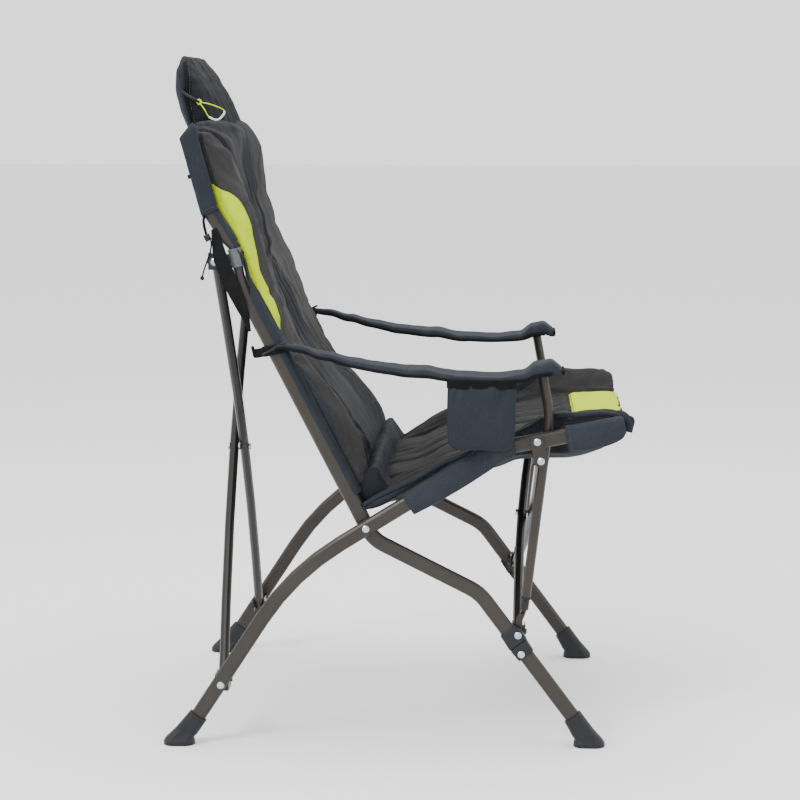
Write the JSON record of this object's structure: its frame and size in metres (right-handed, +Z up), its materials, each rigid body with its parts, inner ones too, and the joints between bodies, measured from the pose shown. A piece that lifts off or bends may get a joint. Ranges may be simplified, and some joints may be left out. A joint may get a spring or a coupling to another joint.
{
  "type": "folding camp chair",
  "caption": "Folding camp chair with a high padded back and head pillow, webbing arm slings, a side cup pocket and a dark crossed-tube frame that folds together.",
  "frame": {"origin": "middle of the chair's footprint, on the ground under the soles", "axes": "+X the way the chair faces, +Y its left side, +Z up"},
  "size_m": [0.786, 0.701, 1.135],
  "materials": {
    "frame_tube": "satin dark gunmetal powder coat",
    "plastic": "moulded black nylon, matt",
    "rivet": "bright zinc-plated",
    "charcoal_fabric": "matt woven polyester, charcoal",
    "navy_fabric": "matt woven polyester, dark navy grey"
  },
  "bodies": {
    "right_rail": {"right_rail_tube": "frame_tube", "right_link_plate": "frame_tube", "right_rail_rivet": "rivet", "right_link_pin": "rivet", "right_rear_leg_pin": "rivet", "right_scissor_pin": "rivet", "right_rear_foot": "plastic", "seat_pad": "charcoal_fabric"},
    "right_upright": {"right_upright_tube": "frame_tube", "right_upper_back_tube": "frame_tube", "right_front_foot": "plastic", "right_back_collar": "plastic", "right_collar_pin": "rivet", "right_leg_sleeve_lower": "plastic", "right_leg_sleeve_upper": "plastic", "right_leg_rivet": "rivet", "right_leg_pin": "rivet", "back_pad": "charcoal_fabric", "head_pillow": "charcoal_fabric"},
    "right_post": {"right_arm_post": "frame_tube", "right_post_cap": "plastic", "right_strut_guide": "plastic", "right_front_high_bracket": "frame_tube", "right_arm_sling": "navy_fabric", "cup_pocket": "navy_fabric"},
    "right_rod": {"right_strut_rod": "frame_tube", "right_front_low_bracket": "frame_tube"},
    "left_rail": {"left_rail_tube": "frame_tube", "left_link_plate": "frame_tube", "left_rail_rivet": "rivet", "left_link_pin": "rivet", "left_rear_leg_pin": "rivet", "left_scissor_pin": "rivet", "left_rear_foot": "plastic"},
    "left_upright": {"left_upright_tube": "frame_tube", "left_upper_back_tube": "frame_tube", "left_front_foot": "plastic", "left_back_collar": "plastic", "left_collar_pin": "rivet", "left_leg_sleeve_lower": "plastic", "left_leg_sleeve_upper": "plastic", "left_leg_rivet": "rivet", "left_leg_pin": "rivet"},
    "left_post": {"left_arm_post": "frame_tube", "left_post_cap": "plastic", "left_strut_guide": "plastic", "left_front_high_bracket": "frame_tube", "left_arm_sling": "navy_fabric"},
    "left_rod": {"left_strut_rod": "frame_tube", "left_front_low_bracket": "frame_tube"},
    "front_falling": {"front_falling_tube": "frame_tube", "front_centre_bolt": "rivet"},
    "front_rising": {"front_rising_tube": "frame_tube"},
    "rear_swing": {"right_rear_low_bracket": "frame_tube"},
    "rear_rising": {"rear_rising_tube": "frame_tube", "rear_centre_bolt": "rivet"},
    "rear_falling": {"rear_falling_tube": "frame_tube"},
    "right_rear_high": {"right_rear_high_bracket": "frame_tube"},
    "left_rear_low": {"left_rear_low_bracket": "frame_tube"},
    "left_rear_high": {"left_rear_high_bracket": "frame_tube"}
  },
  "joints": [
    {"name": "fold", "type": "hinge", "parent": "right_rail", "child": "right_upright", "pos_m": [-0.0412, -0.294, 0.3657], "axis": [0, 1, 0], "range_deg": [0, 78], "deforming": ["seat_pad", "back_pad", "head_pillow", "right_arm_sling", "left_arm_sling"]},
    {"name": "right_post_swing", "type": "hinge", "parent": "right_rail", "child": "right_post", "pos_m": [0.24272, -0.2945, 0.47983], "axis": [0, 1, 0], "range_deg": [0, 39]},
    {"name": "right_rod_swing", "type": "hinge", "parent": "right_upright", "child": "right_rod", "pos_m": [0.20761, -0.2945, 0.18757], "axis": [0, -1, 0], "range_deg": [0, 39]},
    {"name": "front_falling_turn", "type": "hinge", "parent": "right_post", "child": "front_falling", "pos_m": [0.24272, -0.26828, 0.47983], "axis": [-0.9929, 0, 0.1193], "range_deg": [0, 39]},
    {"name": "front_crossing", "type": "hinge", "parent": "front_falling", "child": "front_rising", "pos_m": [0.22516, 0, 0.3337], "axis": [0.9929, 0, -0.1193], "range_deg": [0, 78]},
    {"name": "left_bracket_turn", "type": "hinge", "parent": "front_falling", "child": "left_rod", "pos_m": [0.20761, 0.26828, 0.18757], "axis": [0.9929, 0, -0.1193], "range_deg": [0, 39]},
    {"name": "left_upright_swing", "type": "hinge", "parent": "left_rod", "child": "left_upright", "pos_m": [0.20761, 0.294, 0.18757], "axis": [0, 1, 0], "range_deg": [0, 39]},
    {"name": "left_scissor", "type": "hinge", "parent": "left_upright", "child": "left_rail", "pos_m": [-0.0412, 0.31, 0.3657], "axis": [0, -1, 0], "range_deg": [0, 78]},
    {"name": "left_post_swing", "type": "hinge", "parent": "left_rail", "child": "left_post", "pos_m": [0.24272, 0.2945, 0.47983], "axis": [0, 1, 0], "range_deg": [0, 39]},
    {"name": "rear_plane_swing", "type": "hinge", "parent": "right_rail", "child": "rear_swing", "pos_m": [-0.2815, -0.31, 0.1015], "axis": [0, 1, 0], "range_deg": [0, 46.28]},
    {"name": "rear_rising_turn", "type": "hinge", "parent": "rear_swing", "child": "rear_rising", "pos_m": [-0.2815, -0.27478, 0.1015], "axis": [1, 0, 0.0066], "range_deg": [0, 22.25]},
    {"name": "rear_crossing", "type": "hinge", "parent": "rear_rising", "child": "rear_falling", "pos_m": [-0.2838, 0, 0.45005], "axis": [-1, 0, -0.0066], "range_deg": [0, 44.49]},
    {"name": "right_rear_high_turn", "type": "hinge", "parent": "rear_falling", "child": "right_rear_high", "pos_m": [-0.2861, -0.27478, 0.7986], "axis": [1, 0, 0.0066], "range_deg": [0, 22.25]},
    {"name": "left_rear_low_turn", "type": "hinge", "parent": "rear_falling", "child": "left_rear_low", "pos_m": [-0.2815, 0.27478, 0.1015], "axis": [1, 0, 0.0066], "range_deg": [0, 22.25]},
    {"name": "left_rear_high_turn", "type": "hinge", "parent": "rear_rising", "child": "left_rear_high", "pos_m": [-0.2861, 0.27478, 0.7986], "axis": [-1, 0, -0.0066], "range_deg": [0, 22.25]}
  ],
  "couplings": [
    {"joint": "right_post_swing", "follows": "fold", "ratio": 0.5},
    {"joint": "right_rod_swing", "follows": "fold", "ratio": 0.5},
    {"joint": "front_falling_turn", "follows": "fold", "ratio": 0.5},
    {"joint": "front_crossing", "follows": "fold", "ratio": 1},
    {"joint": "left_bracket_turn", "follows": "fold", "ratio": 0.5},
    {"joint": "left_upright_swing", "follows": "fold", "ratio": 0.5},
    {"joint": "left_scissor", "follows": "fold", "ratio": 1},
    {"joint": "left_post_swing", "follows": "fold", "ratio": 0.5},
    {"joint": "rear_plane_swing", "follows": "fold", "ratio": 0.59338},
    {"joint": "rear_rising_turn", "follows": "fold", "ratio": 0.28521},
    {"joint": "rear_crossing", "follows": "fold", "ratio": 0.57041},
    {"joint": "right_rear_high_turn", "follows": "fold", "ratio": 0.28521},
    {"joint": "left_rear_low_turn", "follows": "fold", "ratio": 0.28521},
    {"joint": "left_rear_high_turn", "follows": "fold", "ratio": 0.28521}
  ]
}
